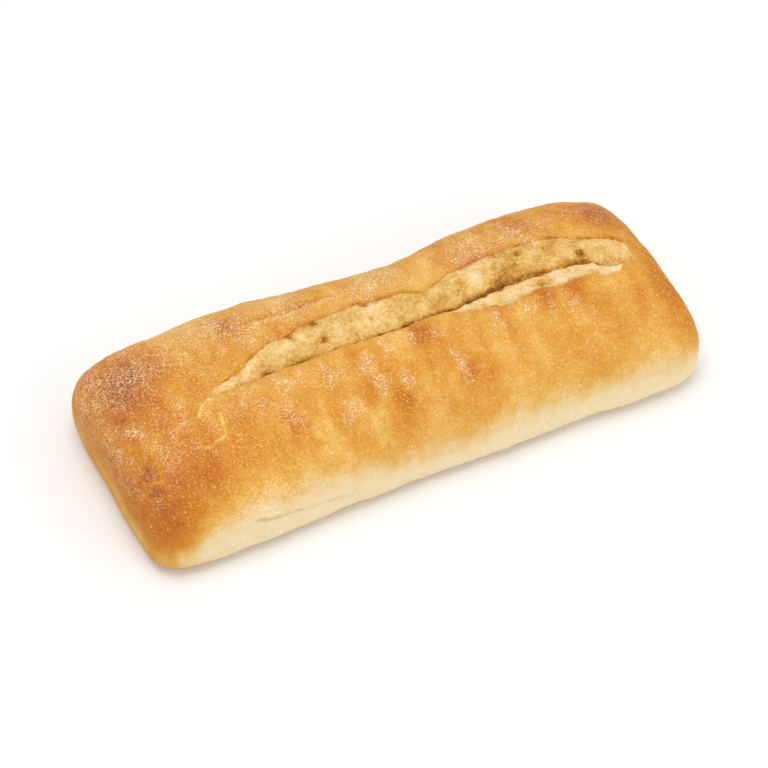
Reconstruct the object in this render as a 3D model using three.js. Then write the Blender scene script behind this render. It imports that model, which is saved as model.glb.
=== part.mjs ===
// Ciabatta: a baked loaf in one piece, lying on its flat base with its length along X.
// The front is at -Y and the back at +Y. The origin is under the middle, on the base.
// One lengthwise slash has opened in the oven into a band of bare crumb with an ear behind it.
import * as THREE from "three";
import { ParametricGeometry } from "three/addons/geometries/ParametricGeometry.js";
import { mergeVertices } from "three/addons/utils/BufferGeometryUtils.js";

const { clamp, lerp, mapLinear, smoothstep } = THREE.MathUtils;

// Driving dimensions of the loaf, in millimetres
const LENGTH = 273.5;
const WIDTH = 116;
const DOME_HEIGHT = 52;
const GIRTH_HEIGHT = 16.6;
const END_LEAN = 2.1;

// Hollows in plan along the two long sides
const FRONT_HOLLOWS = [{ depth: 5, at: -20, reach: 75 }, { depth: 3.8, at: 76, reach: 34 }];
const BACK_HOLLOWS = [{ depth: 7.9, at: 17, reach: 50 }, { depth: 2.5, at: 125, reach: 28 }];

// Squareness of the rounded outlines: 2 is an ellipse, a large number nearly a box
const PLAN_SQUARENESS = 8.8;
const END_SQUARENESS = 3.9;
const END_FOOT_SQUARENESS = 10;
const CROWN_SQUARENESS = 2.5;
const FOOT_SQUARENESS = 6;
const FOOT_FLATTENING = 1.04;

// Slow swells of the dough
const SWELL_HEIGHT = 0.7;

// The slash: a crease with a sloping band of crumb behind it, up to the ear
const SLASH_START = -95;
const SLASH_END = 123;
const SLASH_OPENS_OVER = 62;
const CRUMB_WIDTH = 19.5;
const CREASE_DEPTH = 4.6;
const CREASE_FRONT_SLOPE = 2;
const CRUMB_SLOPE = 6.5;
const EAR_RISE = 2.3;
const EAR_FADE = 11;
const EAR_STEP = 1.8;
const EAR_NOTCH = { depth: 5, at: 21.5, reach: 6 };
const LIP_RISE = 1.5;
const LIP_REACH = 6;

// On the right the front lip has torn back too, baring a second, narrower strip of crumb
const STRIP_WIDTH = 10;

// A shallow fold in the crust behind the ear
const FOLD = { from: -66, to: -14, y: 30, depth: 1.2, reach: 2.2 };

// Steps of the surface along the loaf and round its section
const END_STEPS = 9;
const BODY_STEPS = 78;
const BASE_STEPS = 4;
const SIDE_STEPS = 7;
const TOP_STEPS = 28;
const TOP_CLUSTERING = 0.42;

const CRUST = new THREE.MeshStandardMaterial({ color: 0xdc9f52, roughness: 0.72, metalness: 0 });
CRUST.name = "crust";

// Running totals of step counts, as shares of the whole walk
function knotsFor(counts) {
  const total = counts.reduce((sum, count) => sum + count, 0);
  let walked = 0;
  const shares = counts.map((count) => (walked += count) / total);
  return [0, ...shares];
}

// Value at t of the straight-sided track through the knots
function track(t, knots, values) {
  const after = knots.findIndex((knot) => knot >= t - 1e-9);
  const i = clamp(after, 1, knots.length - 1);
  return mapLinear(t, knots[i - 1], knots[i], values[i - 1], values[i]);
}

// A point on a square pulled in to the superellipse of the given squareness
function pulledIn(a, b, squareness) {
  const size = (Math.abs(a) ** squareness + Math.abs(b) ** squareness) ** (1 / squareness);
  return [a / size, b / size];
}

// Height of a superellipse of unit radius at a distance from its middle
function arch(distance, squareness) {
  return Math.max(0, 1 - Math.abs(distance) ** squareness) ** (1 / squareness);
}

function bell(offset, reach) {
  return Math.exp(-((offset / reach) ** 2));
}

function halfWidth(x, hollows) {
  const dents = hollows.map(({ depth, at, reach }) => depth * bell(x - at, reach));
  return dents.reduce((width, dent) => width - dent, WIDTH / 2);
}

// The crease wanders a little about the middle of the loaf
function creaseLine(x) {
  const shift = 3.6 * smoothstep(x, 30, 55);
  const hook = 6 * smoothstep(x, 98, 116);
  return -3.4 - bell(x - 5, 15) + shift - hook;
}

// How far the slash stands open, from 0 at its tips to 1
function opening(x) {
  const leftTip = smoothstep(x, SLASH_START, SLASH_START + SLASH_OPENS_OVER);
  const narrowing = 1 - 0.4 * smoothstep(x, 84, 114);
  const rightTip = 1 - smoothstep(x, SLASH_END - 9, SLASH_END);
  return leftTip * narrowing * rightTip;
}

// Presence of the slash's relief, which reaches the tips more fully than the opening does
function slashStrength(x) {
  const leftTip = smoothstep(x, SLASH_START, SLASH_START + SLASH_OPENS_OVER / 2);
  return leftTip * (1 - smoothstep(x, SLASH_END - 7, SLASH_END));
}

// Share of the full width of the front strip
function stripOpening(x) {
  return smoothstep(x, 14, 40) * (1 - smoothstep(x, 98, 118));
}

// Rise of the crust at a distance behind the crease
function slashRelief(x, behind) {
  const strip = stripOpening(x);
  const frontSlope = lerp(CREASE_FRONT_SLOPE, 0.6 * STRIP_WIDTH, strip);
  const crease = -CREASE_DEPTH * bell(behind, behind < 0 ? frontSlope : CRUMB_SLOPE);
  const earAt = CRUMB_WIDTH * opening(x) - EAR_NOTCH.depth * bell(x - EAR_NOTCH.at, EAR_NOTCH.reach);
  const earStep = smoothstep(behind, earAt - EAR_STEP, earAt + EAR_STEP);
  const ear = EAR_RISE * earStep * Math.exp(-Math.max(0, behind - earAt) / EAR_FADE);
  const lipAt = lerp(LIP_REACH, STRIP_WIDTH + 3, strip);
  const lip = LIP_RISE * bell(behind + lipAt, LIP_REACH);
  return slashStrength(x) * (crease + ear + lip);
}

function foldRelief(x, y) {
  const along = smoothstep(x, FOLD.from, FOLD.from + 12) * (1 - smoothstep(x, FOLD.to - 12, FOLD.to));
  return -FOLD.depth * along * bell(y - FOLD.y, FOLD.reach);
}

// Slow lumps in the dough, along the loaf and across it
function swell(x, across) {
  const long = Math.sin(0.053 * x - 2.6 * across + 1);
  const short = Math.sin(0.112 * x + 2.1 * across);
  return SWELL_HEIGHT * (0.6 * long + 0.4 * short);
}

const ALONG_KNOTS = knotsFor([END_STEPS, BODY_STEPS, END_STEPS]);
const ROUND_KNOTS = knotsFor([BASE_STEPS, SIDE_STEPS, TOP_STEPS, SIDE_STEPS, BASE_STEPS]);

// Rows on the top lie closer together by the slash and follow its crease
function topAcross(even, x) {
  const clustered = even * (TOP_CLUSTERING + (1 - TOP_CLUSTERING) * even ** 2);
  const creaseShare = (2 * creaseLine(x)) / WIDTH;
  return clustered + creaseShare * (1 - even ** 2) ** 2;
}

// A point of the crust. The walk round goes from the middle of the base up the back,
// over the top and down the front; the walk along goes from the left end to the right.
function crustPoint(round, along, target) {
  const endwise = track(along, ALONG_KNOTS, [-1, -1, 1, 1]);
  const sidewise = track(along, ALONG_KNOTS, [0, 1, 1, 0]);
  const [lengthShare, planShare] = pulledIn(endwise, sidewise, PLAN_SQUARENESS);
  const x = (LENGTH / 2) * lengthShare;

  const even = track(round, ROUND_KNOTS, [0, 1, 1, -1, -1, 0]);
  const upright = track(round, ROUND_KNOTS, [-1, -1, 1, 1, -1, -1]);
  const across = upright === 1 ? topAcross(even, x) : even;
  const squareness = upright > 0 ? CROWN_SQUARENESS : FOOT_SQUARENESS;
  const [sideShare, heightShare] = pulledIn(across, upright, squareness);

  const reach = halfWidth(x, sideShare < 0 ? FRONT_HOLLOWS : BACK_HOLLOWS);
  const lump = swell(x, sideShare) * planShare;
  const y = sideShare * (reach * planShare + lump);
  const lean = END_LEAN * sideShare * planShare * lengthShare ** 4;

  let z = 0;
  if (heightShare > 0) {
    const crown = (DOME_HEIGHT - GIRTH_HEIGHT) * arch(lengthShare, END_SQUARENESS);
    const relief = slashRelief(x, y - creaseLine(x)) + foldRelief(x, y) + lump;
    z = GIRTH_HEIGHT + heightShare * crown + relief * heightShare ** 2;
  } else {
    const foot = FOOT_FLATTENING * -heightShare * arch(lengthShare, END_FOOT_SQUARENESS);
    z = GIRTH_HEIGHT * (1 - Math.min(1, foot));
  }
  target.set(x - lean, y, z);
}

// Joins the seam and the two end points, and leaves out triangles that have no area there
function closed(surface) {
  surface.deleteAttribute("normal");
  surface.deleteAttribute("uv");
  const welded = mergeVertices(surface, 1e-4);
  const index = welded.getIndex().array;
  const kept = [];
  for (let i = 0; i < index.length; i += 3) {
    const corners = new Set([index[i], index[i + 1], index[i + 2]]);
    if (corners.size === 3) {
      kept.push(...corners);
    }
  }
  welded.setIndex(kept);
  welded.computeVertexNormals();
  return welded;
}

const roundSteps = 2 * (BASE_STEPS + SIDE_STEPS) + TOP_STEPS;
const alongSteps = 2 * END_STEPS + BODY_STEPS;
const crust = closed(new ParametricGeometry(crustPoint, roundSteps, alongSteps));

// The origin lies under the middle of the loaf
crust.computeBoundingBox();
const middle = crust.boundingBox.getCenter(new THREE.Vector3());
crust.translate(-middle.x, -middle.y, 0);

const loaf = new THREE.Mesh(crust, CRUST);
loaf.name = "loaf";

const ciabatta = new THREE.Group();
ciabatta.name = "ciabatta";
ciabatta.add(loaf);

export default ciabatta;
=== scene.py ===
"""A ciabatta loaf worked out as one surface: crust, torn crumb and a dust of flour.

Lengths are in millimetres until a mesh is made. X runs along the loaf, -Y is its front, Z is up.
A span is a pair of places: a step over it is 0 at the first and 1 at the second, either way round.
A random layer is an amount, a wavelength and a seed.
"""
import itertools
import math

import bpy
import numpy as np
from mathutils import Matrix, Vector


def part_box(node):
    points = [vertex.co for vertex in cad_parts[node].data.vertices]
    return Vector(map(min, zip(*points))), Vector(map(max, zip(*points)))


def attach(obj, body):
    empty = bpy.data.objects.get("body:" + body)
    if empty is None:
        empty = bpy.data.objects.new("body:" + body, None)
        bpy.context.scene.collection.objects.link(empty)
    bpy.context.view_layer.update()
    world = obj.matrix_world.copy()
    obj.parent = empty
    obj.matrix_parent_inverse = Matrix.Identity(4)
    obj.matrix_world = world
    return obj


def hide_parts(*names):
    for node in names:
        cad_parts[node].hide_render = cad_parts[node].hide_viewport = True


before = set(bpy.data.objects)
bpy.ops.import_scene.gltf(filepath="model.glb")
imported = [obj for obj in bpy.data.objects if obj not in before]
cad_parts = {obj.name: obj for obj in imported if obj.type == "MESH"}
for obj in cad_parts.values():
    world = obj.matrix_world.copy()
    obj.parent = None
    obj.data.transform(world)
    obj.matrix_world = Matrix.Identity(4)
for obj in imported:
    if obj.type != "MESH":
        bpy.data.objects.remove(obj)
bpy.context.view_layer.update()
MM = 0.001
LOW, HIGH = (np.array(corner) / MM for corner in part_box("loaf"))

# The loaf's driving sizes: its box comes from the solid, the rest from the shape of the dough
END_LEAN = 2.1
END_LEAN_POWER = 4
LENGTH = HIGH[0] - LOW[0] - END_LEAN
WIDTH = 116.0
RELIEF_ABOVE_DOME = 2.0
DOME_HEIGHT = HIGH[2] - RELIEF_ABOVE_DOME
GIRTH_HEIGHT = 16.6
# Hollows of the two long sides: depth, x, reach
FRONT_HOLLOWS = ((5.0, -20, 75), (3.8, 76, 34))
BACK_HOLLOWS = ((7.9, 17, 50), (2.5, 125, 28))
PLAN_SQUARENESS = 8.8
END_SQUARENESS = 3.9
END_FOOT_SQUARENESS = 10
CROWN_SQUARENESS = 2.5
FOOT_SQUARENESS = 6
FOOT_FLATTENING = 1.04
SWELL_HEIGHT = 0.7
# Waves of the swell: share, turn for each millimetre along, turn from the middle to the side, start
SWELL_WAVES = ((0.6, 0.053, -2.6, 1), (0.4, 0.112, 2.1, 0))

# The slash: a crease, a sloping band of crumb behind it, and the ear of crust at its back
SLASH_START = -98
SLASH_END = 124
SLASH_OPENS_OVER = 34
SLASH_CLOSES_OVER = 6
CREASE_Y = -3.4
CREASE_BOW = dict(depth=1.2, at=6, reach=17)
CREASE_SHIFT = 3.8
CREASE_SHIFT_SPAN = (30, 56)
CREASE_HOOK = 8
CREASE_HOOK_SPAN = (96, 111)
CREASE_WANDER = ((0.6, 13, 11), (0.4, 4, 10))
CREASE_LEFT_DEPTH = 0.5
CREASE_DEEPENS = (-24, -4)
CREASE_RIGHT_DEPTH = 0.2
CREASE_CLOSES = (98, 112)
VALLEY_DEPTH = 2.2
VALLEY_REACH = 9
SLIT_DEPTH = 2.6
SLIT_REACH = 1.1
SLIT_VARIES = (0.5, 19, 18)
SLIT_AT_STRIP = 0.75
CRUMB_SWELL = 0.9
# The ear's edge along the loaf: x, distance behind the crease
EAR_LINE = (
    (-98, 0.0), (-88, 3.2), (-80, 5.3), (-70, 8.2), (-67.3, 8.8), (-65.8, 10.6), (-60, 12.8),
    (-52, 15.8), (-42.4, 16.5), (-40.4, 18.5), (-28, 19.4), (-20, 20.6), (-11, 21.6), (-6, 20.2),
    (3, 19.8), (12.6, 18.8), (18, 16.2), (22, 14.4), (26, 16.4), (30, 17.6), (38, 18.7),
    (54, 17.6), (65, 19.0), (80, 18.7), (91, 17.8), (95, 15.9), (99, 14.6), (104, 16.8),
    (108, 18.2), (112, 18.0), (116, 17.0), (119.5, 15.0), (122.5, 11.0), (125, 0.0),
)
EAR_FRAY = ((0.5, 9, 12), (0.4, 3.5, 13))
EAR_FULLY_FRAYED = 8
EAR_LEAST = 1
EAR_RISE = 0.9
EAR_FADE = 11
EAR_STEP = 0.4
EAR_VARIES = (0.5, 23, 19)
EAR_OVERHANG = 0.3
EAR_OVERHANG_FADE = 3.5
EAR_CRACK = dict(depth=0.7, before=0.5, reach=0.7, varies=(1, 11, 20))
FULL_BAND = 15
LIP_FACE_REACH = 1.0
LIP_RISE = 1.5
LIP_REACH = 6
LIP_BEFORE_STRIP = 2
# The strip of crumb before the crease at the right, and its crust edge: x, distance
STRIP_WIDTH = 12.5
STRIP_VALLEY_SHARE = 0.55
STRIP_OPENS = (20, 52)
STRIP_CLOSES = (115, 95)
STRIP_LINE = (
    (20, 0), (30, 3.5), (36, 5.5), (49, 9), (62, 10.4), (76, 10.8), (91, 11.3), (100, 10.5), (106, 8), (115, 0),
)
STRIP_WANDER = ((1.1, 11, 14), (0.4, 4, 15))

# Folds and cracks in the crust. Breaks are the share of a line that shows, and a random layer.
EAR_FOLD = dict(start=-68, end=-8, tapers=14, y=28.2, wander=(1.3, 17, 16), depth=1.1, before=0.4, reach=0.9,
                rise=1.5, step=(-0.4, 1.0), fade=7, line_reach=0.6, breaks=(0.8, (0.6, 7, 26)))
FOOT_FOLD = dict(start=-92, end=-30, begins=6, tapers=20, height=21.5, fall=0.19, wander=(0.8, 9, 17),
                 depth=0.9, reach=0.9, breaks=(0.75, (0.7, 5, 24)))
# Fine pale cracks: their reach, then the points (x, y) that they run through
CRACKS = (
    (0.8, ((-88.9, -6.8), (-91, -7.5), (-93, -8.8), (-95.2, -11.6), (-96.6, -13.8))),
    (0.65, ((-87.5, -15.6), (-88, -19.1), (-88.6, -22.5), (-89.2, -26), (-91.1, -27.3), (-93.7, -27.8),
            (-96.6, -29), (-100, -28.3))),
    (1.0, ((-131.4, -32.8), (-129.6, -30.9), (-128, -30.7), (-125, -31.6), (-122.1, -32.5))),
)
CRACK_HEIGHT = 0.6
CRACK_BREAKS = (0.7, (0.6, 4, 25))

# Steps of the surface: along the loaf, then round it from the middle of the base up the back
END_STEPS = 30
BODY_STEPS = 340
BASE_STEPS = 4
BACK_FOOT_STEPS = 9
BACK_SIDE_STEPS = 23
BACK_CRUST_STEPS = 48
BAND_STEPS = 44
STRIP_STEPS = 20
FRONT_CRUST_STEPS = 52
FRONT_SIDE_STEPS = 32
FRONT_FOOT_STEPS = 10
# Places of the back crust and the band in the walk round the loaf, and how their columns crowd
BACK_CRUST, BAND = 3, 4
BACK_CRUST_CROWDING = 1.4
BAND_CROWDING = 0.55
EAR_COLUMNS_APART = 4
STRIP_COLUMNS_APART = 2.5

LATTICE = 256
NOISE_GAIN = 1.7
# Where the line for wandering edges runs through the lattice's cells
LINE_IN_CELL = (0.37, 0.61)
TINY = 1e-9


def smoothstep(x, low, high):
    """0 at low and beyond, 1 at high and beyond, and the cubic 3t^2 - 2t^3 of the share t in between."""
    share = np.clip((x - low) / (high - low), 0, 1)
    return share * share * (3 - 2 * share)


def ease(x, span, start, end):
    """A smooth step over a span from one value to another."""
    return start + (end - start) * smoothstep(x, *span)


def bell(offset, reach):
    """A Gaussian bump of height 1: exp of minus the square of offset over reach."""
    return np.exp(-((offset / reach) ** 2))


def pulled_in(a, b, squareness):
    """A point (a, b) of a square divided by its p-norm, which pulls it in to a superellipse."""
    size = (np.abs(a) ** squareness + np.abs(b) ** squareness) ** (1 / squareness)
    return a / size, b / size


def arch(distance, squareness):
    """Height of a unit superellipse at a distance from its middle: (1 - d^p)^(1/p)."""
    return np.maximum(0, 1 - np.abs(distance) ** squareness) ** (1 / squareness)


def dough_noise(points, wavelength, seed):
    """A smooth random field of about -1 to 1 at points of shape (..., 3).

    Each corner of a cubic lattice has a seeded random gradient. A point's value is the eight
    corners' gradients times its offsets from them, blended with weights 6t^5 - 15t^4 + 10t^3.
    """
    draw = np.random.default_rng(seed)
    table = draw.permutation(LATTICE)
    gradients = draw.normal(size=(LATTICE, 3))
    gradients /= np.linalg.norm(gradients, axis=1, keepdims=True)
    cell = np.floor(points / wavelength).astype(int)
    local = points / wavelength - cell
    fade = local**3 * (local * (local * 6 - 15) + 10)
    total = np.zeros(points.shape[:-1])
    for corner in itertools.product((0, 1), repeat=3):
        hashed = 0
        for axis in range(3):
            hashed = table[(hashed + cell[..., axis] + corner[axis]) % LATTICE]
        weight = np.prod(np.where(corner, fade, 1 - fade), axis=-1)
        total += weight * np.sum(gradients[hashed] * (local - corner), axis=-1)
    return NOISE_GAIN * total


def layered(points, *layers):
    """The sum of random layers at points."""
    return sum(amount * dough_noise(points, wavelength, seed) for amount, wavelength, seed in layers)


def wander(x, *layers):
    """The sum of random layers read along one line, for edges that wander."""
    total = np.zeros_like(x)
    for amount, wavelength, seed in layers:
        aside, up = (np.full_like(x, share * wavelength) for share in LINE_IN_CELL)
        total += amount * dough_noise(np.stack([x, aside, up], -1), wavelength, seed)
    return total


def broken(x, share, layer):
    """A share that varies along a line by a random layer, kept from 0 to 1."""
    return np.clip(share + wander(x, layer), 0, 1)


def half_width(x, hollows):
    """Half the loaf's width at x, less a Gaussian hollow for each (depth, place, reach)."""
    return WIDTH / 2 - sum(depth * bell(x - at, reach) for depth, at, reach in hollows)


def crease_line(x):
    """Y of the crease: a line with a Gaussian bow, a shift to the back at the right and a hook at its end."""
    bow = CREASE_BOW["depth"] * bell(x - CREASE_BOW["at"], CREASE_BOW["reach"])
    shift = CREASE_SHIFT * smoothstep(x, *CREASE_SHIFT_SPAN)
    hook = CREASE_HOOK * smoothstep(x, *CREASE_HOOK_SPAN)
    return CREASE_Y - bow + shift - hook + wander(x, *CREASE_WANDER)


def slash_strength(x):
    """Presence of the slash's relief, from 0 at its tips to 1."""
    opening = smoothstep(x, SLASH_START, SLASH_START + SLASH_OPENS_OVER)
    return opening * smoothstep(x, SLASH_END, SLASH_END - SLASH_CLOSES_OVER)


def strip_opening(x):
    """Share of the full width of the strip of crumb in front of the crease."""
    return smoothstep(x, *STRIP_OPENS) * smoothstep(x, *STRIP_CLOSES)


def crease_depth(x):
    """How deep the crease is and how strong its painted shade: half at the left, full along the loaf, nearly
    closed at its right end.
    """
    return ease(x, CREASE_DEEPENS, CREASE_LEFT_DEPTH, 1) * ease(x, CREASE_CLOSES, 1, CREASE_RIGHT_DEPTH)


def ear_offset(x):
    """Distance of the ear's edge behind the crease: straight between the line's points, then frayed."""
    line = np.interp(x, *np.array(EAR_LINE).T)
    return line + wander(x, *EAR_FRAY) * np.minimum(1, line / EAR_FULLY_FRAYED)


def strip_edge(x):
    """Distance of the front strip's crust edge before the crease."""
    return np.interp(x, *np.array(STRIP_LINE).T) + wander(x, *STRIP_WANDER) * strip_opening(x)


def grid_shares():
    """The two walks over the surface, as shares of the length, the width and the height.

    A walk over the upper half of a unit square, from one end over the long side to the other
    end, is pulled in to a superellipse for the plan. A walk round a unit square is pulled in
    to one for the section. On the top its columns lie between the corner, the ear, the
    crease and the edge of the front strip, so that they follow these lines along the loaf.
    They crowd to the ear on the back crust, and to the ear and the crease on the band.
    """
    along = np.cumsum([0, END_STEPS, BODY_STEPS, END_STEPS])
    steps = np.arange(along[-1] + 1)
    endwise = np.interp(steps, along, [-1, -1, 1, 1])
    sidewise = np.interp(steps, along, [0, 1, 1, 0])
    length_share, plan_share = pulled_in(endwise, sidewise, PLAN_SQUARENESS)

    x = LENGTH / 2 * length_share
    crease = crease_line(x) / (WIDTH / 2)
    ear = crease + np.maximum(ear_offset(x), EAR_COLUMNS_APART) / (WIDTH / 2)
    strip = crease - np.maximum(strip_edge(x), STRIP_COLUMNS_APART) / (WIDTH / 2)
    one = np.ones_like(x)

    counts = [BASE_STEPS, BACK_FOOT_STEPS, BACK_SIDE_STEPS, BACK_CRUST_STEPS, BAND_STEPS, STRIP_STEPS,
              FRONT_CRUST_STEPS, FRONT_SIDE_STEPS, FRONT_FOOT_STEPS, BASE_STEPS]
    across_knots = np.stack([0 * one, one, one, one, ear, crease, strip, -one, -one, -one, 0 * one], -1)
    upright_knots = [-1, -1, 0, 1, 1, 1, 1, 1, 0, -1, -1]
    round_knots = np.cumsum([0] + counts)
    columns = np.arange(round_knots[-1])
    segment = np.searchsorted(round_knots, columns, side="right") - 1
    share = (columns - round_knots[segment]) / np.array(counts)[segment]
    share = np.where(segment == BACK_CRUST, 1 - (1 - share) ** BACK_CRUST_CROWDING, share)
    turn = 2 * np.pi
    share = np.where(segment == BAND, share - BAND_CROWDING * np.sin(turn * share) / turn, share)
    across = across_knots[:, segment] * (1 - share) + across_knots[:, segment + 1] * share
    upright = np.broadcast_to(np.interp(columns, round_knots, upright_knots), across.shape)
    above, height_above = pulled_in(across, upright, CROWN_SQUARENESS)
    below, height_below = pulled_in(across, upright, FOOT_SQUARENESS)
    side_share = np.where(upright > 0, above, below)
    height_share = np.where(upright > 0, height_above, height_below)
    return length_share[:, None], plan_share[:, None], side_share, height_share


def slash_relief(x, behind):
    """Rise of the crust behind the crease, and its shift in Y.

    The rise is a broad Gaussian valley with a narrow slit at its foot, both steeper in front
    than behind, a swelling of the crumb between crease and ear, a step at the ear that fades
    backwards and a Gaussian swelling of the front lip. The edge of the ear also leans forwards
    over the crumb, by a bump that starts at the step and fades behind it, and a narrow Gaussian
    crack runs before it. The step, the crack and the slit vary along the loaf.
    """
    strip = strip_opening(x)
    ear = np.maximum(ear_offset(x), EAR_LEAST)
    past_ear = behind - ear
    band = np.minimum(1, ear / FULL_BAND)

    front_valley = LIP_FACE_REACH + (STRIP_VALLEY_SHARE * STRIP_WIDTH - LIP_FACE_REACH) * strip
    valley = -VALLEY_DEPTH * bell(behind, np.where(behind < 0, front_valley, VALLEY_REACH))
    slit_depth = SLIT_DEPTH * crease_depth(x) * (1 + (SLIT_AT_STRIP - 1) * strip) * (1 + wander(x, SLIT_VARIES))
    slit = -slit_depth * bell(behind, np.where(behind < 0, LIP_FACE_REACH, SLIT_REACH))
    swelling = CRUMB_SWELL * np.sin(np.pi * np.clip(behind / ear, 0, 1)) * band
    crack = -EAR_CRACK["depth"] * bell(past_ear + EAR_CRACK["before"], EAR_CRACK["reach"])
    crack *= 1 + wander(x, EAR_CRACK["varies"])
    step = smoothstep(past_ear, -EAR_STEP, EAR_STEP) * (1 + wander(x, EAR_VARIES))
    ear_rise = EAR_RISE * step * np.exp(-np.maximum(0, past_ear) / EAR_FADE)
    lip = LIP_RISE * bell(behind + LIP_REACH + (STRIP_WIDTH + LIP_BEFORE_STRIP - LIP_REACH) * strip, LIP_REACH)
    lean = -EAR_OVERHANG * step * np.exp(-np.maximum(0, past_ear) / EAR_OVERHANG_FADE)
    strength = slash_strength(x)
    return strength * (valley + slit + swelling + crack + ear_rise + lip), strength * band * lean


def fold_place(x, y):
    """Distance behind the foot of the roll behind the ear, and the roll's presence along the loaf."""
    start, end, tapers = EAR_FOLD["start"], EAR_FOLD["end"], EAR_FOLD["tapers"]
    present = smoothstep(x, start, start + tapers) * smoothstep(x, end, end - tapers)
    return y - EAR_FOLD["y"] - wander(x, EAR_FOLD["wander"]), present


def fold_line(x, y):
    """A soft broken line along the foot of the roll."""
    past, present = fold_place(x, y)
    return present * broken(x, *EAR_FOLD["breaks"]) * bell(past, EAR_FOLD["line_reach"])


def foot_line(x, y, z):
    """A broken line that falls along the foot of the front side, as a Gaussian over the height."""
    fold = FOOT_FOLD
    begun = fold["start"] + fold["begins"]
    present = smoothstep(x, fold["start"], begun) * smoothstep(x, fold["end"], fold["end"] - fold["tapers"])
    present *= broken(x, *fold["breaks"])
    line = fold["height"] - fold["fall"] * (x - begun) + wander(x, fold["wander"])
    return present * bell(z - line, fold["reach"]) * (y < 0)


def crack_lines(x, y):
    """1 along the fine cracks, falling off as a Gaussian of the distance from their straight pieces."""
    strength = np.zeros_like(x)
    for reach, line in CRACKS:
        for (x0, y0), (x1, y1) in itertools.pairwise(line):
            run, rise = x1 - x0, y1 - y0
            share = np.clip(((x - x0) * run + (y - y0) * rise) / (run**2 + rise**2), 0, 1)
            distance = np.hypot(x - x0 - share * run, y - y0 - share * rise)
            strength = np.maximum(strength, bell(distance, reach))
    return strength * broken(x + y, *CRACK_BREAKS)


def fold_relief(x, y, z):
    """Rolls, folds and cracks of the crust.

    The roll behind the ear is a Gaussian groove at the foot of a step that fades backwards. The
    fold above the foot is a Gaussian groove, and the fine cracks have swollen up to Gaussian ridges.
    """
    past, present = fold_place(x, y)
    roll = EAR_FOLD["rise"] * smoothstep(past, *EAR_FOLD["step"]) * np.exp(-np.maximum(0, past) / EAR_FOLD["fade"])
    groove = EAR_FOLD["depth"] * bell(past + EAR_FOLD["before"], EAR_FOLD["reach"])
    top = (roll - groove) * present + CRACK_HEIGHT * crack_lines(x, y)
    return top * (z > GIRTH_HEIGHT) - FOOT_FOLD["depth"] * foot_line(x, y, z)


def swell(x, across):
    """Slow lumps of the dough: two sine waves that run askew along the loaf."""
    waves = (share * np.sin(along * x + aside * across + start) for share, along, aside, start in SWELL_WAVES)
    return SWELL_HEIGHT * sum(waves)


def loaf_form():
    """The smooth loaf as a grid of points, with the values that the finer layers need.

    Width and length follow the plan's superellipse, and each section is a superellipse with
    its widest place at the girth. The half above the girth is scaled to the dome, whose height
    falls towards the ends as a superellipse; the half below is cut off flat at the base.
    """
    length_share, plan_share, side_share, height_share = grid_shares()
    x = LENGTH / 2 * length_share + 0 * side_share
    reach = np.where(side_share < 0, half_width(x, FRONT_HOLLOWS), half_width(x, BACK_HOLLOWS))
    lump = swell(x, side_share) * plan_share
    y = side_share * (reach * plan_share + lump)
    behind = y - crease_line(x)
    rise, shift = slash_relief(x, behind)
    crown = (DOME_HEIGHT - GIRTH_HEIGHT) * arch(length_share, END_SQUARENESS)
    top = GIRTH_HEIGHT + height_share * crown + (rise + lump) * height_share**2
    foot = FOOT_FLATTENING * -height_share * arch(length_share, END_FOOT_SQUARENESS)
    upper = height_share > 0
    z = np.where(upper, top, GIRTH_HEIGHT * (1 - np.minimum(1, foot)))
    lean = END_LEAN * side_share * plan_share * length_share**END_LEAN_POWER
    points = np.stack([x - lean, y + shift * upper, z], -1)
    middle = (points[..., 1].max() + points[..., 1].min()) / 2
    points[..., 1] -= middle
    return points, dict(x=x, behind=behind, upper=upper, plan=plan_share + 0 * x)


def surface_normals(points):
    """Unit normals of a grid that is closed round its columns, from differences of neighbours."""
    along = np.gradient(points, axis=0)
    round_loaf = np.roll(points, -1, axis=1) - np.roll(points, 1, axis=1)
    normals = np.cross(round_loaf, along)
    normals[0], normals[-1] = (-1, 0, 0), (1, 0, 0)
    return normals / np.maximum(np.linalg.norm(normals, axis=-1, keepdims=True), TINY)


def closed_mesh(name, points):
    """A mesh of quads over the grid, closed round its columns, with a fan to a pole at each end."""
    rows, columns = points.shape[:2]
    inner = points[1:-1].reshape(-1, 3)
    corners = np.vstack([inner, points[0, :1], points[-1, :1]]) * MM
    ring = np.arange(columns)
    after = np.roll(ring, -1)
    start = np.arange(rows - 3)[:, None] * columns
    quads = np.stack([start + ring, start + after, start + columns + after, start + columns + ring], -1)
    left, right = len(inner), len(inner) + 1
    last = (rows - 3) * columns
    fans = np.vstack([np.stack([np.full(columns, left), after, ring], -1),
                      np.stack([np.full(columns, right), last + ring, last + after], -1)])
    mesh = bpy.data.meshes.new(name)
    mesh.from_pydata(corners, [], [*quads.reshape(-1, 4).tolist(), *fans.tolist()])
    mesh.shade_smooth()
    return mesh


def per_vertex(values):
    """Values of the grid in the order of the mesh's vertices: the rows between, then the poles."""
    return np.concatenate([values[1:-1].ravel(), values[0, :1], values[-1, :1]])


def give_attribute(mesh, name, values):
    """Stores one number for each vertex, for the material to read."""
    layer = mesh.attributes.new(name, "FLOAT", "POINT")
    layer.data.foreach_set("value", per_vertex(values).astype(np.float32))


# The edges of the bare crumb
CRUMB_FRAY = ((0.6, 3, 21), (0.4, 1.5, 22))
FRONT_FRAY = 2
FRONT_SOFTNESS = 0.5
STRIP_SOFTNESS = 0.7
STRIP_RAGGED = (2.2, 7, 23)
FRONT_BEFORE = 0.7
BACK_FRAY = 0.6
BACK_EDGE = (0.2, -0.5)
FULL_CRUMB = 3
CRUMB_SHOWS = (0.12, 0.5)
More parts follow.
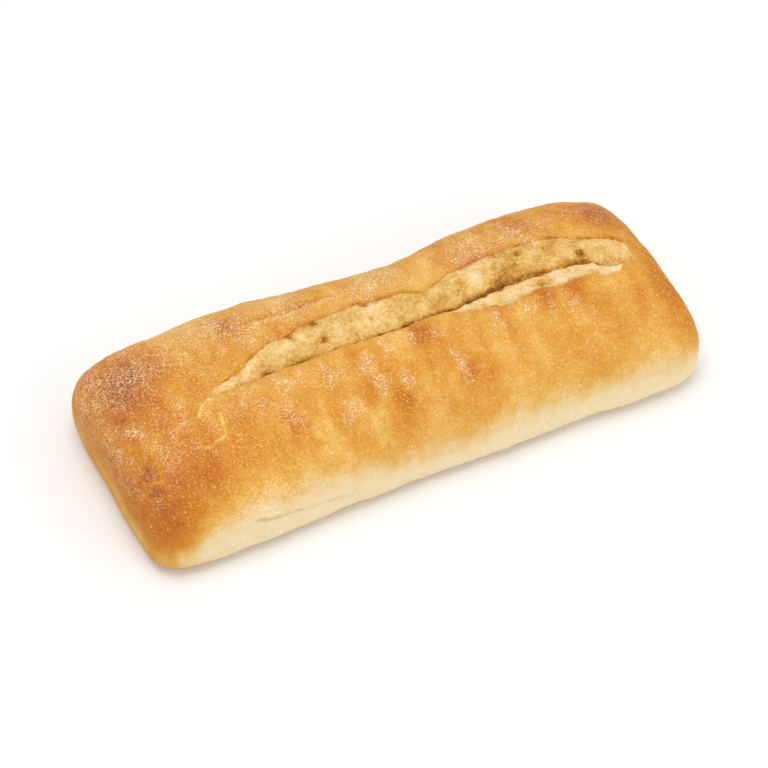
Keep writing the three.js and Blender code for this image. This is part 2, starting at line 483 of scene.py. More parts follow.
# The tear of the crumb
TORN_LUMPS = (0.7, 8, 4)
TORN_RIDGES = ((0.3, 4.6, 5), (0.16, 2.3, 6))
RIDGE_SHARPNESS = 2.6
BUBBLES = (1, 4.2, 7)
BUBBLE_SPAN = (0.25, 0.8)
BUBBLE_DEPTH = 0.6
# Pores in the torn crumb: x, distance behind the crease, reach, depth
PORES = (
    (-29.4, 6.9, 1.5, 1.7), (-5.2, 18.6, 1.3, 1.7), (99, 5.0, 1.8, 1.8), (-43.5, 15.6, 1.4, 1.2),
    (-29.8, 18.6, 1.5, 1.2), (-60, 1.2, 2.2, 0.6), (71.4, 13.7, 2.0, 1.1), (57.2, 10.0, 1.7, 1.2),
    (43.2, 13.0, 1.6, 1.0), (30, 6, 1.6, 0.8), (8, 12, 2.0, 0.7), (-18, 11, 1.6, 0.8),
    (74, -6.5, 4.0, 1.4), (47, 8.9, 3.0, -0.6),
)
# The lumps of the crust, and where all finer relief dies out
CRUST_LUMPS = ((0.55, 15, 1), (0.3, 6, 2), (0.16, 2.4, 3))
CALM_END = (0, 0.3)
CALM_BASE = (0, 4)

# The crumb's tone: amounts lighter or darker, and where. Those for the tear's relief, by the crease and under the
# ear are painted shade
CRUMB_TONE_AND_PAINTED_SHADE = dict(middle=0.45, relief=0.2, right=-0.04, strip=0.31, left_tip=0.12, crease=-0.16,
                   shade_by_crease=-0.1, shadow_under_ear=-0.06)
CRUMB_MOTTLE = ((0.1, 16, 53), (0.09, 5, 55))
RIGHT_CRUMB = (40, 80)
LEFT_TIP = (-58, -72)
STRIP_SHADE_EDGE = (-0.5, -2.5)
CREASE_PAINTED_SHADE_BEHIND = 0.6
CREASE_PAINTED_SHADE_REACH = 1.1
BY_CREASE_REACH = 4.5
EAR_SHADOW_REACH = 1.5
STAIN_RAGGED = (1.5, 4, 54)
# Browner places in the crumb, or paler where negative, those on the pores being painted shade in them: x, distance
# behind the crease, reach, strength
CRUMB_STAINS_AND_PORE_SHADE = (
    (-29.8, 19, 2.4, 0.2), (-28, 10, 3.0, 0.14), (-5.2, 18.6, 1.6, 0.12), (-43.5, 15.6, 1.8, 0.16),
    (56, 1.5, 5, 0.2), (60, 4, 4, 0.12), (66, 1.5, 5, 0.1), (24, 6, 3.2, 0.22),
    (38.3, 5.6, 2.6, 0.14), (99, 5.0, 1.8, 0.14), (-29.4, 6.9, 1.5, 0.14), (71.4, 13.7, 1.8, 0.08),
    (-60, 1.0, 2.5, 0.08), (74, -6.5, 4.5, 0.1), (34, 14, 4, 0.08), (39.5, 9.7, 3, 0.2),
    (47, 8.9, 3, -0.14), (55.7, 9.5, 4, -0.2), (-39, 14.7, 5, -0.16), (118, 6, 7, -0.15),
)

# The crust's baking, with painted shade at the fold, the base and the left foot: amounts browner or paler, and
# where
BAKE = dict(side=0.06, top=0.48, back_right=0.03, left=0.16, right_end=0.14, streaks=0.12, ear_edge=0.05,
            ear_rim=0.16, strip_rim=0.12, fold=0.06, crack=-0.5, base=0.3, left_foot=0.2)
# Height on the front side at which the browned crust turns pale: x, height
PALE_EDGE = (
    (-138, 9), (-129, 9), (-115, 29), (-90, 38), (-65, 31), (-17, 25), (7, 25), (56, 25), (106, 28), (127, 26),
    (138, 22),
)
PALE_EDGE_WANDER = (3, 30, 30)
PALE_EDGE_STREAKS = 6
PALE_EDGE_SPAN = (-14, 14)
STREAK_SQUEEZE = (1, 0.25, 0.25)
STREAKS = ((1, 8, 31), (0.4, 3.5, 38))
BACK_RIGHT_X = (20, 60)
BACK_RIGHT_Y = (8, 24)
LEFT_X = (-55, -115)
LEFT_ABOVE_EDGE = (-18, 10)
RIGHT_END_X = (114, 132)
RIGHT_END_Z = (14, 28)
BLOTCHES = ((0.1, 28, 32), (0.07, 12, 33), (0.04, 5, 34))
BLOTCHES_Z = (12, 32)
SPOTS_Z = (14, 32)
SPOT_RAGGED = ((2, 7, 35), (1.2, 3, 36))
SPOT_SQUEEZE = 0.75
EAR_EDGE_BEHIND = 0.2
EAR_EDGE_REACH = 0.7
EAR_RIM_BEHIND = 0.6
EAR_RIM_REACH = 1.5
EAR_RIM_BREAKS = (0.4, (1.2, 12, 37))
EAR_RIM_AT_LEFT = 0.35
EAR_RIM_X = (-45, 0)
STRIP_RIM_REACH = 2.5
# Where the painted shade of the shadowed base edge lies: the base and the left foot
BASE_Z = (3, 0.2)
LEFT_FOOT_X = (-95, -125)
LEFT_FOOT_Z = (14, 4)
# Above the knee the browning goes on at a lower slope
BAKE_KNEE = 0.74
BAKE_SLOPE = 0.6
# Places that baked darker, or paler where negative: x, y, reach, strength
BROWN_SPOTS = (
    (-120, 25, 15, 0.26), (-118, 8, 9, 0.12), (-106, 20, 8, 0.08), (-66, 31, 5.5, 0.3),
    (-129, -28, 5, 0.26), (-114, -39, 21, 0.2), (-91, -33, 6, 0.05), (-59, -33, 6, 0.32),
    (-24, -33, 5, 0.2), (-11, -41, 5, 0.26), (-39, -45, 6, 0.1), (-22, -13, 4, 0.12),
    (10, -14.5, 4.5, 0.36), (25.6, -36, 5, 0.4), (-50, -23.5, 4, 0.1), (52, -30, 8, 0.05),
    (70, -17.5, 4.5, 0.22), (85, -17, 5.5, 0.3), (93, -26, 6, 0.1), (78, 35, 9, 0.28),
    (115, 33, 9, 0.22), (122, 25, 7, 0.15), (127, -22, 8, 0.14), (27, 19, 8, -0.14),
    (-36, 32, 9, -0.08), (104, 18, 9, -0.06),
)

# How thickly flour lies: amounts, and where
DUST = dict(all_over=0.18, left=0.17, back=0.22, before_fold=0.6, fold=-0.3, low=-0.3, left_end=0.18)
DUST_PATCHES = (0.15, 17, 41)
DUST_WISPS = (0.3, 5, 42)
WISP_SQUEEZE = (1, 0.6, 0.6)
DUST_LEFT_X = (-30, -100)
DUST_LEFT_Y = (-50, -20)
DUST_BACK_Y = (8, 30)
DUST_LOW_Z = (42, 18)
DUST_LEFT_END_X = (-124, -135)
DUST_LEFT_END_Z = (5, 14)
DUST_BEFORE_FOLD = 2.6
DUST_FOLD_REACH = 1.6
DUST_LEAST = 0.02
FLOUR_RAGGED = ((1.8, 5, 43), (1.2, 2.5, 44))
FLOUR_SQUEEZE = 0.6
# Places where flour lies thicker: x, y, reach, amount
FLOUR_SPOTS = (
    (-122, 20, 12, 0.15), (-70, 36, 6, 0.45), (-58, 20, 6, 0.4), (-116, -22, 3, 0.4), (-121, -8, 2.5, 0.5),
    (-126, -2, 2.5, 0.45), (-73, -15, 6, 0.35), (-61.5, -8.4, 3, 0.45), (-56, -13.4, 3.5, 0.5),
    (-47.7, -13.9, 3.5, 0.55), (-38.5, -12.5, 3.5, 0.65), (-36.5, -18, 3, 0.55), (-30.5, -17, 3, 0.5),
    (-18.6, -17.5, 3.5, 0.5), (-18, -28, 3, 0.55), (-7, -15.4, 3, 0.5), (-17, -12.5, 3, 0.5),
    (33, -14.5, 3, 0.4), (-6.5, -31, 3, 0.6), (-17.6, -36, 3, 0.4), (-31, -35, 3, 0.4), (-37, -36.5, 3, 0.35),
    (4.3, -13.4, 2.5, 0.5), (17.8, -15.1, 3, 0.45), (19.5, -29.3, 3, 0.6), (21, -34, 2.5, 0.5),
    (5, -42, 3, 0.3), (18, -44.5, 3, 0.25), (-59, -30, 3, 0.35), (-61.6, -25.6, 3, 0.35),
    (56.6, -14.5, 3, 0.4), (63, -20.5, 3.5, 0.5), (46.3, -19.8, 3.5, 0.45), (83, -22.2, 3, 0.5),
    (79.3, -24, 3, 0.45), (70.8, -24, 3, 0.4), (88.5, -30, 3, 0.35), (-38, 26, 6, 0.4), (-36, 33, 7, 0.35),
    (0, 25, 7, 0.55), (14, 31, 7, 0.35), (55, 27, 7, 0.45), (45, 22, 6, 0.4), (71, 27, 5, 0.4), (79, 23, 5, 0.45),
)

# How dark the painted shade in the folds is, and how coarse the crust's grain is, which also sets how many painted
# glints show
FOLD_PAINTED_SHADE = 0.32
FOOT_FOLD_PAINTED_SHADE = 0.35
COARSE = dict(all_over=0.65, left=0.3, back=0.25, front_left=-0.4, cracks=-0.5, ends=0.8, pale=0.2)
COARSE_LEFT_X = (-30, -105)
COARSE_BACK_Y = (5, 30)
COARSE_TOP_Z = (14, 34)
COARSE_ENDS_X = (118, 134)
COARSE_ENDS_Z = (4, 12)
SMOOTH_CORNER_X = (-75, -110)
SMOOTH_CORNER_Y = (-14, -38)


def crumb_mask(form, points):
    """1 on the bare crumb, between the edge of the front strip and the edge of the ear, both frayed."""
    x, behind = form["x"], form["behind"]
    ear, strip, opening = ear_offset(x), strip_edge(x), strip_opening(x)
    fray = layered(points, *CRUMB_FRAY)
    softness = FRONT_SOFTNESS + STRIP_SOFTNESS * opening
    frayed = behind + FRONT_FRAY * softness * fray + opening * layered(points, STRIP_RAGGED)
    front = smoothstep(frayed + strip + FRONT_BEFORE, -softness, softness)
    back = smoothstep(behind + BACK_FRAY * fray - ear, *BACK_EDGE)
    present = smoothstep(slash_strength(x) * np.clip(ear / FULL_CRUMB, 0, 1), *CRUMB_SHOWS)
    return front * back * form["upper"] * present


def ridged(points, wavelength, seed):
    """Thin ridges where the random field crosses zero: 1 less its size times the sharpness."""
    return 1 - RIDGE_SHARPNESS * np.abs(dough_noise(points, wavelength, seed))


def torn_relief(form, points):
    """Height of the torn crumb: slow lumps, ridges of two wavelengths, bubbles and the pores."""
    torn = layered(points, TORN_LUMPS)
    for amount, wavelength, seed in TORN_RIDGES:
        torn += amount * ridged(points, wavelength, seed)
    torn -= BUBBLE_DEPTH * smoothstep(layered(points, BUBBLES), *BUBBLE_SPAN)
    for at, off, reach, depth in PORES:
        torn -= depth * bell(np.hypot(form["x"] - at, form["behind"] - off), reach)
    return torn


def relief(form, points, crumb):
    """Distance along the normal by which the finer layers move the smooth form.

    The crust has lumps of three wavelengths and its folds, the crumb its tear. Both die out at
    the base and at the middle of the ends.
    """
    y, z = points[..., 1], points[..., 2]
    crust = layered(points, *CRUST_LUMPS) + fold_relief(form["x"], y, z)
    torn = torn_relief(form, points)
    calm = smoothstep(form["plan"], *CALM_END) * smoothstep(z, *CALM_BASE)
    return (crust * (1 - crumb) + torn * crumb) * calm


def baking(form, points):
    """How brown the crust is, from 0 for pale to 1 for dark.

    A smooth step over the height, at an edge that varies along the loaf, is broken by streaks that
    run down the sides, blotches of three sizes and the named spots. The left, the right end, the back
    right, the ear's edge and the rim of the front strip are browner. Painted shade darkens the roll's
    foot, the base and the left foot. The fine cracks are paler. The darkest values are pressed together.
    """
    along, y, z = np.moveaxis(points, -1, 0)
    x, behind, upper = form["x"], form["behind"], form["upper"]
    streaks = layered(points * STREAK_SQUEEZE, *STREAKS)
    edge = np.interp(x, *np.array(PALE_EDGE).T) + layered(points, PALE_EDGE_WANDER) + PALE_EDGE_STREAKS * streaks
    bake = BAKE["side"] + BAKE["top"] * smoothstep(z - edge, *PALE_EDGE_SPAN)
    bake += BAKE["back_right"] * smoothstep(y, *BACK_RIGHT_Y) * smoothstep(x, *BACK_RIGHT_X)
    bake += BAKE["left"] * smoothstep(x, *LEFT_X) * smoothstep(z - edge, *LEFT_ABOVE_EDGE)
    bake += BAKE["right_end"] * smoothstep(x, *RIGHT_END_X) * smoothstep(z, *RIGHT_END_Z)
    bake += (layered(points, *BLOTCHES) + BAKE["streaks"] * streaks) * smoothstep(z, *BLOTCHES_Z)

    ragged = layered(points, *SPOT_RAGGED)
    for at, aside, reach, strength in BROWN_SPOTS:
        distance = np.hypot(along - at, SPOT_SQUEEZE * (y - aside)) + ragged
        bake += strength * smoothstep(z, *SPOTS_Z) * bell(np.maximum(distance, 0), reach)

    past_ear = behind - ear_offset(x)
    ear_rim = BAKE["ear_edge"] * bell(past_ear - EAR_EDGE_BEHIND, EAR_EDGE_REACH)
    ear_rim += BAKE["ear_rim"] * bell(past_ear - EAR_RIM_BEHIND, EAR_RIM_REACH) * broken(x, *EAR_RIM_BREAKS)
    strip_rim = BAKE["strip_rim"] * bell(behind + strip_edge(x) + STRIP_RIM_REACH, STRIP_RIM_REACH)
    rim = ear_rim * ease(x, EAR_RIM_X, EAR_RIM_AT_LEFT, 1) + strip_rim * strip_opening(x)
    # The fold line's darkening is painted shade in the roll's foot; the cracks are paler
    lines = BAKE["fold"] * fold_line(x, y) + BAKE["crack"] * crack_lines(along, y)
    bake += (rim * slash_strength(x) + lines) * upper

    # Painted shade of the shadowed base edge, at the base and the left foot
    bake += BAKE["base"] * smoothstep(z, *BASE_Z)
    bake += BAKE["left_foot"] * smoothstep(x, *LEFT_FOOT_X) * smoothstep(z, *LEFT_FOOT_Z)
    return np.clip(np.minimum(bake, BAKE_KNEE + BAKE_SLOPE * (bake - BAKE_KNEE)), 0, 1)


def crumb_tone(form, points):
    """Tone of the crumb with its painted shade, from 0 for the painted shade deep in the crease to 1 for cream.

    The ridges of the tear are lighter than its hollows, as painted shade of its relief. Painted shade
    darkens it by the crease, under the ear and at the named stains that sit on pores; it is browner at the other
    named stains, paler where their strength is negative, and paler on the front strip and at the left tip.
    """
    x, behind, shade = form["x"], form["behind"], CRUMB_TONE_AND_PAINTED_SHADE
    # The tear's relief lightens its ridges and darkens its hollows as painted shade
    tone = shade["middle"] + shade["relief"] * torn_relief(form, points) + layered(points, *CRUMB_MOTTLE)
    tone += shade["right"] * smoothstep(x, *RIGHT_CRUMB) * (behind > 0)
    tone += shade["strip"] * smoothstep(behind, *STRIP_SHADE_EDGE)
    tone += shade["left_tip"] * smoothstep(x, *LEFT_TIP)
    # Painted shade in and by the crease, and under the ear
    crease = shade["crease"] * bell(behind - CREASE_PAINTED_SHADE_BEHIND, CREASE_PAINTED_SHADE_REACH)
    crease += shade["shade_by_crease"] * bell(np.maximum(0, behind), BY_CREASE_REACH)
    tone += crease * crease_depth(x)
    tone += shade["shadow_under_ear"] * bell(behind - ear_offset(x), EAR_SHADOW_REACH)
    ragged = layered(points, STAIN_RAGGED)
    # The stains on the pores are painted shade in them
    for at, off, reach, strength in CRUMB_STAINS_AND_PORE_SHADE:
        tone -= strength * bell(np.hypot(x - at, behind - off) + ragged, reach)
    return np.clip(tone, 0, 1)


def flour_dust(form, points):
    """How thickly flour lies, from 0 to 1.

    There is more to the left, to the back, on the left end and before the roll behind the ear, and
    less on the low sides and in the roll's foot. It lies in patches, wisps and the named places.
    """
    x, y, z = np.moveaxis(points, -1, 0)
    upper = form["upper"]
    dust = DUST["all_over"] + DUST["left"] * smoothstep(x, *DUST_LEFT_X) * smoothstep(y, *DUST_LEFT_Y)
    dust += DUST["back"] * smoothstep(y, *DUST_BACK_Y)
    dust += layered(points, DUST_PATCHES) + layered(points * WISP_SQUEEZE, DUST_WISPS)
    ragged = layered(points, *FLOUR_RAGGED)
    for at, aside, reach, amount in FLOUR_SPOTS:
        dust += amount * bell(np.hypot(x - at, FLOUR_SQUEEZE * (y - aside)) + ragged, reach) * upper
    past, present = fold_place(x, y)
    before_fold = DUST["before_fold"] * present * bell(past + DUST_BEFORE_FOLD, DUST_FOLD_REACH)
    dust += (before_fold + DUST["fold"] * fold_line(x, y)) * upper
    dust += DUST["low"] * smoothstep(z, *DUST_LOW_Z)
    dust += DUST["left_end"] * smoothstep(x, *DUST_LEFT_END_X) * smoothstep(z, *DUST_LEFT_END_Z)
    return np.clip(dust, DUST_LEAST, 1)


def painted_fold_shade(form, points):
    """How dark the painted shade in the bottoms of the folds is."""
    x, y, z = np.moveaxis(points, -1, 0)
    return np.clip(FOLD_PAINTED_SHADE * fold_line(x, y) * form["upper"] + FOOT_FOLD_PAINTED_SHADE * foot_line(x, y, z), 0, 1)


def grain_and_glint_strength(points):
    """How strong the crust's fine grain is, and with it the painted glints and highlight strands.

    It is stronger to the left and the back, weaker at the front left corner and on the fine cracks,
    and weak on the pale sides. The ends keep most of it further down.
    """
    x, y, z = np.moveaxis(points, -1, 0)
    rough = COARSE["all_over"] + COARSE["left"] * smoothstep(x, *COARSE_LEFT_X)
    rough += COARSE["back"] * smoothstep(y, *COARSE_BACK_Y)
    rough *= 1 + COARSE["front_left"] * smoothstep(x, *SMOOTH_CORNER_X) * smoothstep(y, *SMOOTH_CORNER_Y)
    ends = COARSE["ends"] * smoothstep(np.abs(x), *COARSE_ENDS_X) * smoothstep(z, *COARSE_ENDS_Z)
    browned = np.maximum(smoothstep(z, *COARSE_TOP_Z), ends)
    rough *= COARSE["pale"] + (1 - COARSE["pale"]) * browned
    return np.clip(rough * (1 + COARSE["cracks"] * crack_lines(x, y)), 0, 1)


def dress_loaf():
    """The loaf's mesh: the smooth form moved along its normals, with the material's masks."""
    points, form = loaf_form()
    crumb = crumb_mask(form, points)
    dressed = points + surface_normals(points) * relief(form, points, crumb)[..., None]
    dressed[..., 2] = np.maximum(dressed[..., 2], 0)
    mesh = closed_mesh("loaf_crust", dressed)
    give_attribute(mesh, "crumb", crumb)
    give_attribute(mesh, "crumb_tone", crumb_tone(form, points))
    give_attribute(mesh, "bake", baking(form, points))
    give_attribute(mesh, "flour", flour_dust(form, points))
    give_attribute(mesh, "grain_and_glint_strength", grain_and_glint_strength(points))
    # The shade attribute carries the painted shade in the folds
    give_attribute(mesh, "shade", painted_fold_shade(form, points))
    return mesh


def srgb(red, green, blue):
    """Linear colour of an eight-bit display colour, by the sRGB curve."""
    values = np.array([red, green, blue]) / 255
    linear = np.where(values <= 0.04045, values / 12.92, ((values + 0.055) / 1.055) ** 2.4)
    return (*linear.tolist(), 1.0)


class Shader:
    """A small hand for building one material's nodes."""

    def __init__(self, name):
        self.material = bpy.data.materials.new(name)
        self.material.use_nodes = True
        self.tree = self.material.node_tree
        self.surface = self.tree.nodes["Principled BSDF"]

    def node(self, kind, **settings):
        made = self.tree.nodes.new(kind)
        for key, value in settings.items():
            setattr(made, key, value)
        return made

    def link(self, source, target):
        """Links a socket to another, or sets it where the source is a plain value."""
        if isinstance(source, (int, float, tuple)):
            target.default_value = source
        else:
            self.tree.links.new(source, target)

    def attribute(self, name):
        return self.node("ShaderNodeAttribute", attribute_name=name).outputs["Fac"]

    def place(self):
        """The object's own coordinates."""
        return self.node("ShaderNodeTexCoord").outputs["Object"]

    def noise(self, wavelength, detail, roughness):
        """A noise node with features of a wavelength in millimetres."""
        made = self.node("ShaderNodeTexNoise")
        made.inputs["Scale"].default_value = 1 / (wavelength * MM)
        made.inputs["Detail"].default_value = detail
        made.inputs["Roughness"].default_value = roughness
        self.link(self.place(), made.inputs["Vector"])
        return made

    def centred(self, wavelength, detail, roughness):
        """Noise about zero."""
        return self.math("SUBTRACT", self.noise(wavelength, detail, roughness).outputs["Fac"], 0.5)

    def strands(self, wavelength, width):
        """Curly strands about half a wavelength apart, where a noise is near its middle."""
        offset = self.math("ABSOLUTE", self.centred(wavelength, 1.0, 0.5))
        return self.math("SUBTRACT", 1.0, self.steps(offset, 0.0, width))

    def specks(self, size, reach, density):
        """Ragged grains in cells of a size in millimetres, of which a share given by the density shows.

        The cells' places are shifted by a noise, and a grain is solid to a core share of its reach.
        """
        made = self.node("ShaderNodeTexVoronoi")
        made.inputs["Scale"].default_value = 1 / (size * MM)
        ragged = self.noise(SPECK_RAGGED * size, 0.0, 0.5).outputs["Color"]
        moved = self.node("ShaderNodeVectorMath", operation="ADD")
        self.link(self.place(), moved.inputs[0])
        self.link(self.scaled(ragged, SPECK_SHIFT * size * MM), moved.inputs[1])
        self.link(moved.outputs[0], made.inputs["Vector"])
        number = self.node("ShaderNodeSeparateColor")
        self.link(made.outputs["Color"], number.inputs[0])
        shown = self.steps(self.math("SUBTRACT", density, number.outputs[0]), *SPECK_SHOWS)
        outside = self.steps(made.outputs["Distance"], SPECK_CORE * reach, reach)
        return self.math("MULTIPLY", shown, self.math("SUBTRACT", 1.0, outside))

    def math(self, operation, first, second=0.0, clamp=False):
        made = self.node("ShaderNodeMath", operation=operation, use_clamp=clamp)
        self.link(first, made.inputs[0])
        self.link(second, made.inputs[1])
        return made.outputs[0]

    def times(self, first, second):
        return self.math("MULTIPLY", first, second)

    def steps(self, value, low, high):
        """A smooth step of value from low to high."""
        made = self.node("ShaderNodeMapRange", interpolation_type="SMOOTHSTEP")
        self.link(value, made.inputs["Value"])
        made.inputs["From Min"].default_value = low
        made.inputs["From Max"].default_value = high
        return made.outputs["Result"]

    def ramp(self, value, stops):
        """Colours along a value: stops are (place, display colour)."""
        made = self.node("ShaderNodeValToRGB")
        elements = made.color_ramp.elements
        while len(elements) < len(stops):
            elements.new(0.5)
        for element, (place, colour) in zip(elements, stops):
            element.position = place
            element.color = srgb(*colour)
        self.link(value, made.inputs["Fac"])
        return made.outputs["Color"]

    def mix(self, share, first, second):
        made = self.node("ShaderNodeMix", data_type="RGBA")
        self.link(share, made.inputs["Factor"])
        self.link(first, made.inputs["A"])
        self.link(second, made.inputs["B"])
        return made.outputs["Result"]

    def scaled(self, colour, factor):
        """A colour or a vector times a factor."""
        made = self.node("ShaderNodeVectorMath", operation="SCALE")
        self.link(colour, made.inputs[0])
        self.link(factor, made.inputs["Scale"])
        return made.outputs[0]


# Display colours of the crust from pale to dark, of the crumb from dark to pale, and of what is mixed over them:
# the painted shade of pin holes and folds, painted glints and flour
CRUST_COLOURS = (
    (0.0, (248, 232, 194)), (0.2, (242, 211, 155)), (0.4, (231, 178, 90)), (0.56, (219, 154, 58)),
    (0.72, (208, 130, 35)), (0.87, (190, 104, 30)), (1.0, (158, 80, 44)),
)
CRUMB_COLOURS = (
    (0.0, (152, 95, 40)), (0.25, (205, 148, 60)), (0.45, (225, 181, 102)), (0.62, (239, 202, 136)),
    (0.8, (246, 218, 163)), (1.0, (252, 235, 203)),
)
# The pin holes' colour is painted shade in small pits
PIN_HOLE_SHADE_COLOUR = (150, 104, 40)
FOLD_SHADE_COLOUR = (140, 98, 44)
PAINTED_GLINT_COLOUR = (252, 209, 130)
FLOUR_COLOUR = (255, 229, 186)
CRUST_LIGHTNESS = 0.95
CRUMB_LIGHTNESS = 0.97
CRUST_ROUGHNESS = 0.62
CRUST_SPECULAR = 0.1
# Noises of the material: wavelength, detail, roughness
MOTTLE = (5.0, 3.0, 0.6)
GRAIN = (0.95, 2.0, 0.6)
CRUMB_GRAIN = (1.6, 2.0, 0.6)
BUMP = (1.5, 3.0, 0.65)
MOTTLE_AMOUNT = 0.24
# The grain lightens and darkens the crust: partly its own grain, partly painted highlights and painted shade of
# its fine relief
GRAIN_DARKENS = 0.7
GRAIN_LIGHTENS = 1.4
CRUMB_TEXTURE = 0.6
# Specks for the painted glints and for the painted shade of pin holes: what all have in common, then size, reach
# and, for the pin holes, density
SPECK_RAGGED = 0.6
SPECK_SHIFT = 1.2
SPECK_CORE = 0.4
SPECK_SHOWS = (-0.02, 0.35)
LARGE_PAINTED_GLINTS = (1.7, 0.34)
SMALL_PAINTED_GLINTS = (1.1, 0.4)
PIN_HOLE_SHADE_SPECKS = (2.4, 0.22, 0.4)
PAINTED_GLINT_DENSITY = 0.65
PAINTED_GLINT_AMOUNT = 0.7
PIN_HOLE_SHADE_AMOUNT = 0.35
# Flour: the strands' wavelength and width, and how much of it shows; the thin strands are painted highlights
STRANDS = (1.45, 0.07)
THICK_FLOUR = (0.2, 0.9)
THICK_AMOUNT = 0.85
THIN_HIGHLIGHT_AMOUNT = 0.35
VEIL_AMOUNT = 0.06
BUMP_OF_DUST = 0.3
BUMP_OF_GRAIN = 0.3
BUMP_STRENGTH = 0.7
BUMP_HEIGHT = 0.6


def crust_material():
    """Baked crust with torn crumb in the slash.

    The crust's colour runs along its baking, with a mottle, and darker and lighter grains that are
    partly its grain and partly painted shade and painted highlights of its fine relief. The crumb's
    runs along its tone, with a fine texture. Painted shade of pin holes and folds, painted golden
    glints and thin highlight strands, and strands of flour are mixed over them. Noise, flour and grains make the
    bump.
    """
    shader = Shader("crust")
    flour = shader.attribute("flour")
    crumb_share = shader.attribute("crumb")
    grain_and_glint_share = shader.attribute("grain_and_glint_strength")
    strands = shader.strands(*STRANDS)
    grain = shader.centred(*GRAIN)
    coarse = shader.times(grain, grain_and_glint_share)

    # Darker and lighter grains: partly the crust's own grain, partly painted shade and painted highlights of its
    # fine relief
    dark_grains_and_shade = shader.math("MAXIMUM", shader.math("SUBTRACT", 0.0, coarse), 0.0)
    light_grains_and_highlights = shader.math("MAXIMUM", coarse, 0.0)
    bake = shader.math("ADD", shader.attribute("bake"), shader.times(shader.centred(*MOTTLE), MOTTLE_AMOUNT))
    bake = shader.math("ADD", bake, shader.times(dark_grains_and_shade, GRAIN_DARKENS), clamp=True)
    lightness_and_highlights = shader.math("ADD", CRUST_LIGHTNESS, shader.times(light_grains_and_highlights, GRAIN_LIGHTENS))
    crust = shader.scaled(shader.ramp(bake, CRUST_COLOURS), lightness_and_highlights)

    texture = shader.times(shader.math("ADD", shader.centred(*CRUMB_GRAIN), grain), CRUMB_TEXTURE)
    tone = shader.math("ADD", shader.attribute("crumb_tone"), texture, clamp=True)
    crumb = shader.scaled(shader.ramp(tone, CRUMB_COLOURS), CRUMB_LIGHTNESS)

    # Painted highlights: golden glints and thin strands, more where the grain is coarse and none on the crumb
    shown = shader.times(shader.times(grain_and_glint_share, PAINTED_GLINT_DENSITY), shader.math("SUBTRACT", 1.0, crumb_share))
    painted_glints = shader.math("MAXIMUM", shader.specks(*LARGE_PAINTED_GLINTS, shown), shader.specks(*SMALL_PAINTED_GLINTS, shown))
    thin_highlights = shader.times(shader.times(strands, shown), THIN_HIGHLIGHT_AMOUNT)
    painted_highlights = shader.math("MAXIMUM", shader.times(painted_glints, PAINTED_GLINT_AMOUNT), thin_highlights)
    dust = shader.times(strands, shader.times(shader.steps(flour, *THICK_FLOUR), THICK_AMOUNT))
    cover = shader.math("MAXIMUM", shader.times(flour, VEIL_AMOUNT), dust)
    # Painted shade of pin holes: dark specks for small pits
    pin_hole_shade = shader.times(shader.specks(*PIN_HOLE_SHADE_SPECKS), PIN_HOLE_SHADE_AMOUNT)

    colour = shader.mix(crumb_share, crust, crumb)
    colour = shader.mix(pin_hole_shade, colour, srgb(*PIN_HOLE_SHADE_COLOUR))
    # Painted shade in the bottoms of the folds
    colour = shader.mix(shader.attribute("shade"), colour, srgb(*FOLD_SHADE_COLOUR))
    # Painted highlights mixed over the colour
    colour = shader.mix(painted_highlights, colour, srgb(*PAINTED_GLINT_COLOUR))
    colour = shader.mix(cover, colour, srgb(*FLOUR_COLOUR))
    shader.link(colour, shader.surface.inputs["Base Color"])
    shader.surface.inputs["Roughness"].default_value = CRUST_ROUGHNESS
    shader.surface.inputs["Specular IOR Level"].default_value = CRUST_SPECULAR

    height = shader.math("ADD", shader.noise(*BUMP).outputs["Fac"], shader.times(dust, BUMP_OF_DUST))
    height = shader.math("ADD", height, shader.times(coarse, BUMP_OF_GRAIN))
    bump = shader.node("ShaderNodeBump")
    bump.inputs["Strength"].default_value = BUMP_STRENGTH
    bump.inputs["Distance"].default_value = BUMP_HEIGHT * MM
    shader.link(height, bump.inputs["Height"])
    shader.link(bump.outputs["Normal"], shader.surface.inputs["Normal"])
    return shader.material


def add_object(name, mesh, material):
    """An object at the origin for a finished mesh."""
    made = bpy.data.objects.new(name, mesh)
    mesh.materials.append(material)
    bpy.context.scene.collection.objects.link(made)
    return made


loaf = add_object("loaf_crust", dress_loaf(), crust_material())
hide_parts("loaf")
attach(loaf, "root")

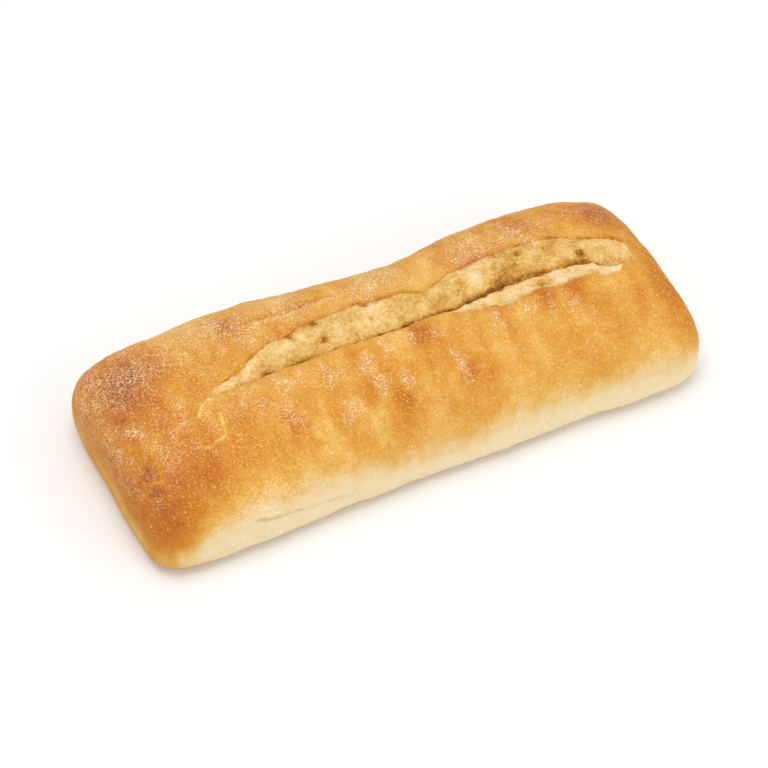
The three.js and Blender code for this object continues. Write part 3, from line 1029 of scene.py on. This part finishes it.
# A plain pale floor under the loaf, in metres
FLOOR_REACH = 4.0
FLOOR_COLOUR = (0.93, 0.93, 0.93, 1)
FLOOR_ROUGHNESS = 0.9
floor_mesh = bpy.data.meshes.new("floor")
corners = [(-FLOOR_REACH, -FLOOR_REACH, 0), (FLOOR_REACH, -FLOOR_REACH, 0),
           (FLOOR_REACH, FLOOR_REACH, 0), (-FLOOR_REACH, FLOOR_REACH, 0)]
floor_mesh.from_pydata(corners, [], [(0, 1, 2, 3)])
floor_paint = Shader("floor")
floor_paint.surface.inputs["Base Color"].default_value = FLOOR_COLOUR
floor_paint.surface.inputs["Roughness"].default_value = FLOOR_ROUGHNESS
floor = add_object("floor", floor_mesh, floor_paint.material)

# Soft lights and a white surround: places and sizes in metres, power in watts
KEY_LIGHT = dict(place=(-0.15, 0.05, 1.4), size=0.8, power=8.2)
FILL_LIGHT = dict(place=(0.5, -1.2, 0.8), size=1.2, power=4.5)
LIT_PLACE = (0, 0, 0.02)
SURROUND_COLOUR = (1, 1, 1, 1)
SURROUND_STRENGTH = 0.67


def aim(thing, place, target):
    """Puts a thing at a place with its -Z axis towards the target."""
    thing.location = place
    thing.rotation_euler = (Vector(target) - Vector(place)).to_track_quat("-Z", "Y").to_euler()
    bpy.context.scene.collection.objects.link(thing)


def soft_light(name, place, size, power):
    """A square area light turned to the loaf."""
    light = bpy.data.lights.new(name, "AREA")
    light.size = size
    light.energy = power
    aim(bpy.data.objects.new(name, light), place, LIT_PLACE)


soft_light("key", **KEY_LIGHT)
soft_light("fill", **FILL_LIGHT)
world = bpy.data.worlds.new("studio")
world.use_nodes = True
world.node_tree.nodes["Background"].inputs["Color"].default_value = SURROUND_COLOUR
world.node_tree.nodes["Background"].inputs["Strength"].default_value = SURROUND_STRENGTH
bpy.context.scene.world = world
bpy.context.scene.view_settings.view_transform = "Standard"

# The camera looks down at the loaf from its left front: distances in metres, the lens in millimetres
CAMERA_AZIMUTH = math.radians(-25.32)
CAMERA_ELEVATION = math.radians(50)
CAMERA_DISTANCE = 1.2
CAMERA_TARGET = Vector((-0.0034, -0.0039, 0.0142))
CAMERA_SENSOR = 36
CAMERA_LENS = 123.75
camera_data = bpy.data.cameras.new("camera")
camera_data.sensor_width = CAMERA_SENSOR
camera_data.lens = CAMERA_LENS
camera = bpy.data.objects.new("camera", camera_data)
level = math.cos(CAMERA_ELEVATION)
away = Vector((math.sin(CAMERA_AZIMUTH) * level, -math.cos(CAMERA_AZIMUTH) * level, math.sin(CAMERA_ELEVATION)))
aim(camera, CAMERA_TARGET + CAMERA_DISTANCE * away, CAMERA_TARGET)
bpy.context.scene.camera = camera
